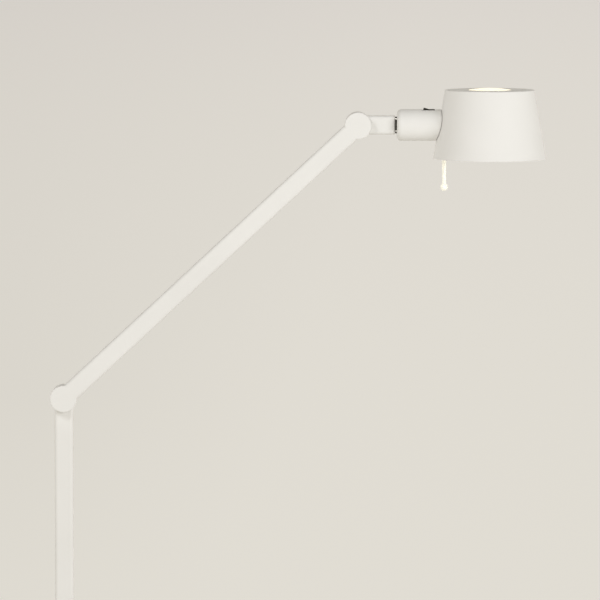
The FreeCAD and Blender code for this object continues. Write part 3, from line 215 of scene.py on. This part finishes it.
def area_light(name, place, aim, width, height, power, colour, items):
    """A rectangular light that reaches only some pieces and that the camera doesn't see."""
    data = bpy.data.lights.new(name, "AREA")
    data.shape = "RECTANGLE"
    data.size, data.size_y = width, height
    data.energy = power
    data.color = colour
    light = bpy.data.objects.new(name, data)
    bpy.context.scene.collection.objects.link(light)
    light.location = place
    towards = Vector(aim) - Vector(place)
    light.rotation_euler = towards.to_track_quat("-Z", "Y").to_euler()
    light.visible_camera = False
    group = bpy.data.collections.new(f"{name}_reach")
    for item in items:
        group.objects.link(item)
    light.light_linking.receiver_collection = group


def make_lights():
    """Two soft panels in front, a weak one behind, and two strips that the dark ring reflects."""
    for panel in PANELS:
        area_light(*panel, PANEL_TINT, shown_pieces())
    bpy.data.objects["rear_panel"].visible_glossy = False
    for strip in STRIPS:
        area_light(*strip, WHITE, [bpy.data.objects["ring_rounded"]])


# ---------------------------------------------------------------- materials
class Finish:
    """One procedural material: a Principled shader and the textures that drive it."""

    def __init__(self, name, **values):
        self.material = bpy.data.materials.new(name)
        self.material.use_nodes = True
        self.nodes = self.material.node_tree.nodes
        self.links = self.material.node_tree.links
        self.shader = next(n for n in self.nodes if n.type == "BSDF_PRINCIPLED")
        self.place = self.nodes.new("ShaderNodeTexCoord").outputs["Object"]
        for key, value in values.items():
            self.set(key, value)

    def set(self, key, value):
        self.shader.inputs[key].default_value = value

    def noise(self, scale, detail, stretch=None):
        """A noise texture, scale in cells a metre, stretched by a factor on each axis."""
        texture = self.nodes.new("ShaderNodeTexNoise")
        texture.inputs["Scale"].default_value = scale
        texture.inputs["Detail"].default_value = detail
        source = self.place
        if stretch:
            mapping = self.nodes.new("ShaderNodeMapping")
            mapping.inputs["Scale"].default_value = stretch
            self.links.new(source, mapping.inputs["Vector"])
            source = mapping.outputs["Vector"]
        self.links.new(source, texture.inputs["Vector"])
        return texture.outputs["Fac"]

    def ramp(self, source, low, high, start=0.35, end=0.65):
        ramp = self.nodes.new("ShaderNodeMapRange")
        ramp.inputs["From Min"].default_value = start
        ramp.inputs["From Max"].default_value = end
        ramp.inputs["To Min"].default_value = low
        ramp.inputs["To Max"].default_value = high
        self.links.new(source, ramp.inputs["Value"])
        return ramp.outputs["Result"]

    def colour(self, source, low, high, start=0.35, end=0.65):
        ramp = self.nodes.new("ShaderNodeValToRGB")
        ramp.color_ramp.elements[0].position = start
        ramp.color_ramp.elements[0].color = (*low, 1.0)
        ramp.color_ramp.elements[1].position = end
        ramp.color_ramp.elements[1].color = (*high, 1.0)
        self.links.new(source, ramp.inputs["Fac"])
        self.links.new(ramp.outputs["Color"], self.shader.inputs["Base Color"])

    def arithmetic(self, operation, first, second):
        node = self.nodes.new("ShaderNodeMath")
        node.operation = operation
        self.links.new(first, node.inputs[0])
        self.links.new(second, node.inputs[1])
        return node.outputs["Value"]

    def roughness(self, source, low, high):
        self.links.new(self.ramp(source, low, high), self.shader.inputs["Roughness"])

    def bump(self, source, distance):
        """Relief of that height in metres."""
        node = self.nodes.new("ShaderNodeBump")
        node.inputs["Distance"].default_value = distance
        node.inputs["Strength"].default_value = 1.0
        self.links.new(source, node.inputs["Height"])
        self.links.new(node.outputs["Normal"], self.shader.inputs["Normal"])


def make_finishes():
    made = {}

    paint = Finish("white_paint")
    paint.colour(paint.noise(9.0, 3.0), (0.845, 0.835, 0.812), (0.870, 0.860, 0.838))
    paint.roughness(paint.noise(40.0, 3.0), 0.56, 0.66)
    paint.set("Specular IOR Level", 0.18)
    paint.bump(paint.noise(700.0, 2.0), 0.00003)
    made["white_paint"] = paint

    zinc = Finish("zinc_steel", Metallic=1.0)
    zinc.colour(zinc.noise(350.0, 4.0), (0.50, 0.51, 0.52), (0.70, 0.70, 0.69))
    zinc.roughness(zinc.noise(600.0, 3.0), 0.28, 0.45)
    zinc.bump(zinc.noise(2500.0, 2.0), 0.00001)
    made["zinc_steel"] = zinc

    lead = Finish("lead_sheath")
    lead.colour(lead.noise(60.0, 2.0), (0.62, 0.61, 0.58), (0.68, 0.67, 0.64))
    lead.roughness(lead.noise(150.0, 2.0), 0.42, 0.55)
    lead.bump(lead.noise(900.0, 2.0), 0.00002)
    made["lead_sheath"] = lead

    rubber = Finish("pad_rubber")
    rubber.colour(rubber.noise(500.0, 4.0), (0.018, 0.018, 0.019), (0.045, 0.045, 0.046))
    rubber.roughness(rubber.noise(800.0, 2.0), 0.80, 0.95)
    rubber.bump(rubber.noise(1800.0, 3.0), 0.00015)
    made["pad_rubber"] = rubber

    iron = Finish("cast_weight", Metallic=0.6)
    iron.colour(iron.noise(120.0, 5.0), (0.06, 0.06, 0.062), (0.14, 0.135, 0.13))
    iron.roughness(iron.noise(300.0, 3.0), 0.55, 0.75)
    iron.bump(iron.noise(500.0, 4.0), 0.0003)
    made["cast_weight"] = iron

    plastic = Finish("white_plastic")
    plastic.colour(plastic.noise(25.0, 2.0), (0.76, 0.75, 0.72), (0.79, 0.78, 0.755))
    plastic.roughness(plastic.noise(200.0, 2.0), 0.40, 0.50)
    plastic.bump(plastic.noise(2200.0, 2.0), 0.00002)
    made["white_plastic"] = plastic

    nylon = Finish("nylon")
    nylon.colour(nylon.noise(80.0, 2.0), (0.72, 0.70, 0.63), (0.78, 0.76, 0.70))
    nylon.roughness(nylon.noise(300.0, 2.0), 0.40, 0.55)
    made["nylon"] = nylon

    gloss = Finish("black_gloss", IOR=1.75)
    gloss.colour(gloss.noise(300.0, 3.0), (0.010, 0.009, 0.008), (0.020, 0.018, 0.016))
    gloss.roughness(gloss.noise(500.0, 2.0), 0.04, 0.09)
    gloss.set("Specular Tint", (1.0, 0.94, 0.82, 1.0))
    made["black_gloss"] = gloss

    switch = Finish("rocker_black")
    switch.colour(switch.noise(300.0, 3.0), (0.010, 0.009, 0.008), (0.020, 0.018, 0.016))
    switch.roughness(switch.noise(500.0, 2.0), 0.50, 0.62)
    switch.set("Specular IOR Level", 0.25)
    switch.set("Specular Tint", (1.0, 0.93, 0.74, 1.0))
    switch.bump(switch.noise(2600.0, 2.0), 0.00003)
    made["rocker_black"] = switch

    black = Finish("black_plastic")
    black.colour(black.noise(200.0, 3.0), (0.018, 0.018, 0.018), (0.032, 0.032, 0.031))
    black.roughness(black.noise(700.0, 2.0), 0.38, 0.52)
    black.bump(black.noise(2500.0, 2.0), 0.00003)
    made["black_plastic"] = black

    brass = Finish("brass", Metallic=1.0)
    brass.colour(brass.noise(300.0, 4.0), (0.62, 0.42, 0.18), (0.78, 0.57, 0.27))
    brass.roughness(brass.noise(500.0, 3.0), 0.22, 0.38)
    brass.bump(brass.noise(2200.0, 2.0), 0.00001)
    made["brass"] = brass

    aluminium = Finish("bare_aluminium", Metallic=1.0)
    turned = aluminium.noise(900.0, 2.0, (0.03, 1.0, 1.0))
    aluminium.colour(turned, (0.70, 0.70, 0.70), (0.83, 0.83, 0.82))
    aluminium.roughness(turned, 0.25, 0.42)
    aluminium.bump(turned, 0.00001)
    made["bare_aluminium"] = aluminium

    opal = Finish("opal_acrylic", Roughness=0.35)
    opal.colour(opal.noise(60.0, 2.0), (0.90, 0.89, 0.84), (0.93, 0.92, 0.88))
    opal.bump(opal.noise(500.0, 2.0), 0.00002)
    # Painted glow: the emission stands in for the bulb's light shining through the opal acrylic.
    opal.set("Emission Color", (1.0, 0.87, 0.58, 1.0))
    opal.set("Emission Strength", 0.70)
    made["opal_acrylic"] = opal

    holder = Finish("holder_plastic")
    holder.colour(holder.noise(90.0, 3.0), (0.70, 0.69, 0.66), (0.75, 0.74, 0.71))
    holder.roughness(holder.noise(400.0, 2.0), 0.35, 0.48)
    holder.bump(holder.noise(1800.0, 2.0), 0.00003)
    made["holder_plastic"] = holder

    cap = Finish("bulb_cap_metal", Metallic=1.0)
    cap.colour(cap.noise(400.0, 4.0), (0.66, 0.65, 0.62), (0.80, 0.79, 0.77))
    cap.roughness(cap.noise(600.0, 3.0), 0.18, 0.32)
    cap.bump(cap.noise(2500.0, 2.0), 0.00001)
    made["bulb_cap_metal"] = cap

    collar = Finish("bulb_plastic")
    collar.colour(collar.noise(60.0, 2.0), (0.80, 0.79, 0.77), (0.84, 0.83, 0.81))
    collar.roughness(collar.noise(300.0, 2.0), 0.30, 0.42)
    collar.bump(collar.noise(2000.0, 2.0), 0.00002)
    made["bulb_plastic"] = collar

    globe = Finish("opal_glass", Roughness=0.22)
    globe.colour(globe.noise(80.0, 2.0), (0.92, 0.91, 0.88), (0.95, 0.94, 0.91))
    globe.set("Emission Color", (1.0, 0.93, 0.78, 1.0))
    globe.set("Emission Strength", 3.0)
    made["opal_glass"] = globe

    glass = Finish("clear_glass", Roughness=0.06, IOR=1.49)
    glass.colour(glass.noise(120.0, 2.0), (0.96, 0.945, 0.88), (0.99, 0.975, 0.91))
    glass.bump(glass.noise(700.0, 2.0), 0.00001)
    glass.set("Transmission Weight", 0.35)
    # Painted glow: the emission stands in for the bulb's light carried along the clear glass rod.
    glass.set("Emission Color", (1.0, 0.98, 0.85, 1.0))
    glass.set("Emission Strength", 0.15)
    made["clear_glass"] = glass
    return made


def slot_name(slot):
    return slot.material.name.split(".")[0]


def dress_cad_nodes(finishes):
    """Give every CAD node the finish of its slot; the rocker has a duller black than its slot's."""
    for node in NODES.values():
        for slot in node.material_slots:
            slot.material = finishes[slot_name(slot)].material
    NODES["rocker"].material_slots[0].material = finishes["rocker_black"].material


# ---------------------------------------------------------------- pieces
ALONG_X = Matrix.Rotation(math.radians(90.0), 4, "Y")
ALONG_Y = Matrix.Rotation(math.radians(-90.0), 4, "X")
UPRIGHT = Matrix()
SHAFT_BORE = 0.0052
RUNNING_GAP = 0.00008
SHARP_ANGLE = math.radians(38.0)
SEGMENTS = 96


def arc(centre, radius, start, end, steps=8):
    """Points of (radius, height) on an arc between two angles in degrees, 0 pointing outwards."""
    made = []
    for step in range(steps + 1):
        angle = math.radians(start + (end - start) * step / steps)
        made.append((centre[0] + radius * math.cos(angle), centre[1] + radius * math.sin(angle)))
    return made


def lathe(name, outline, place, node, finish, closed=False, thread=None):
    """A turned piece from (radius, height) points, standing in for a CAD node on the node's body.

    thread gives the radial offset at an angle and a height."""
    mesh = bmesh.new()
    rings = []
    for radius, height in outline:
        if radius == 0.0:
            rings.append([mesh.verts.new((0.0, 0.0, height))])
            continue
        ring = []
        for step in range(SEGMENTS):
            angle = 2 * math.pi * step / SEGMENTS
            reach = radius + (thread(angle, height) if thread else 0.0)
            ring.append(mesh.verts.new((reach * math.cos(angle), reach * math.sin(angle), height)))
        rings.append(ring)
    pairs = list(zip(rings, rings[1:]))
    if closed:
        pairs.append((rings[-1], rings[0]))
    for lower, upper in pairs:
        for step in range(SEGMENTS):
            corners = [lower[step % len(lower)], lower[(step + 1) % len(lower)],
                       upper[(step + 1) % len(upper)], upper[step % len(upper)]]
            mesh.faces.new(dict.fromkeys(corners))
    bmesh.ops.recalc_face_normals(mesh, faces=mesh.faces)
    mesh.transform(place)
    data = bpy.data.meshes.new(name)
    mesh.to_mesh(data)
    mesh.free()
    data.shade_smooth()
    data.set_sharp_from_angle(angle=SHARP_ANGLE)
    piece = bpy.data.objects.new(name, data)
    bpy.context.scene.collection.objects.link(piece)
    data.materials.append(finishes[finish].material)
    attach(piece, body_of(NODES[node])[0])
    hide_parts(node)


def at(x, y, z, turn=UPRIGHT):
    return Matrix.Translation((x, y, z)) @ turn


def swivel_ring():
    """The dark ring between the link and the housing, with fully rounded rims."""
    low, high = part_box("swivel_ring")
    outside, width, rim = (high[2] - low[2]) / 2, high[0] - low[0] - RUNNING_GAP, 0.0007
    outline = [(SHAFT_BORE, 0.0)]
    outline += arc((outside - rim, rim), rim, -90.0, 0.0)
    outline += arc((outside - rim, width - rim), rim, 0.0, 90.0)
    outline.append((SHAFT_BORE, width))
    place = at(low[0], 0.0, (low[2] + high[2]) / 2, ALONG_X)
    lathe("ring_rounded", outline, place, "swivel_ring", "black_gloss", closed=True)


def glass_rod():
    """The clear handle: a ball drawn out into a tapered rod, with a soft neck between them."""
    low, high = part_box("glass_rod")
    ball = (high[0] - low[0]) / 2
    neck, top, tenon, tenon_length = 0.00245, 0.0029, 0.00225, 0.0042
    fillet, chamfer = 0.0016, 0.0004
    reach = neck + fillet
    rise = math.sqrt((ball + fillet) ** 2 - reach ** 2)
    touch = math.degrees(math.atan2(rise, reach))
    outline = [(0.0, -ball)] + arc((0.0, 0.0), ball, -84.0, touch, 28)
    outline += arc((reach, rise), fillet, touch - 180.0, -180.0)[1:]
    length = high[2] - low[2] - ball
    shoulder = length - tenon_length
    outline += [(top, shoulder - chamfer), (top - chamfer, shoulder), (tenon, shoulder)]
    outline += [(tenon, length), (0.0, length)]
    place = at((low[0] + high[0]) / 2, 0.0, low[2] + ball)
    lathe("rod_drawn", outline, place, "glass_rod", "clear_glass")


def bulb_cap():
    """The bulb's screw cap, with its rolled thread and its contact button."""
    low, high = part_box("bulb_cap")
    outside, length = (high[2] - low[2]) / 2, high[0] - low[0]
    pitch, relief, lead_in, rows = 0.0028, 0.00035, 0.0045, 60
    outline = [(0.0, 0.0), (0.0016, 0.0001), (0.0023, 0.0007), (0.0028, 0.0012), (0.0055, 0.0030)]
    for row in range(rows + 1):
        outline.append((outside - relief, lead_in + (length - lead_in) * row / rows))
    outline.append((0.0, length))

    def thread(angle, height):
        fade = min(1.0, max(0.0, (height - lead_in) / pitch), max(0.0, (length - height) / pitch))
        return relief * fade * math.cos(2 * math.pi * height / pitch - angle)

    place = at(low[0], 0.0, (low[2] + high[2]) / 2, ALONG_X)
    lathe("cap_threaded", outline, place, "bulb_cap", "bulb_cap_metal", thread=thread)


def rear_cap(node):
    """A snap-in cover cap: a softly rounded rim, a shallow dish and a raised middle."""
    low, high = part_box(node)
    outside, thick, rim = (high[2] - low[2]) / 2, high[1] - low[1], 0.0006
    lip, lip_foot = outside - 0.0016, outside - 0.0021
    button, button_foot = 0.0044, 0.0050
    dish, crown = thick - 0.0004, thick + 0.0001
    outline = [(0.0, 0.0), (outside, 0.0)]
    outline += arc((outside - rim, thick - rim), rim, 0.0, 90.0, 5)
    outline += [(lip, thick), (lip_foot, dish), (button_foot, dish)]
    outline += [(button, thick), (0.0, crown)]
    place = at((low[0] + high[0]) / 2, low[1], (low[2] + high[2]) / 2, ALONG_Y)
    lathe(f"{node}_dished", outline, place, node, "white_plastic")


def make_pieces():
    swivel_ring()
    glass_rod()
    bulb_cap()
    for node in ("elbow_cap", "wrist_cap"):
        rear_cap(node)


make_camera()
make_floor()
make_world()
finishes = make_finishes()
dress_cad_nodes(finishes)
make_pieces()
make_lights()
bpy.context.scene.view_settings.view_transform = "Standard"
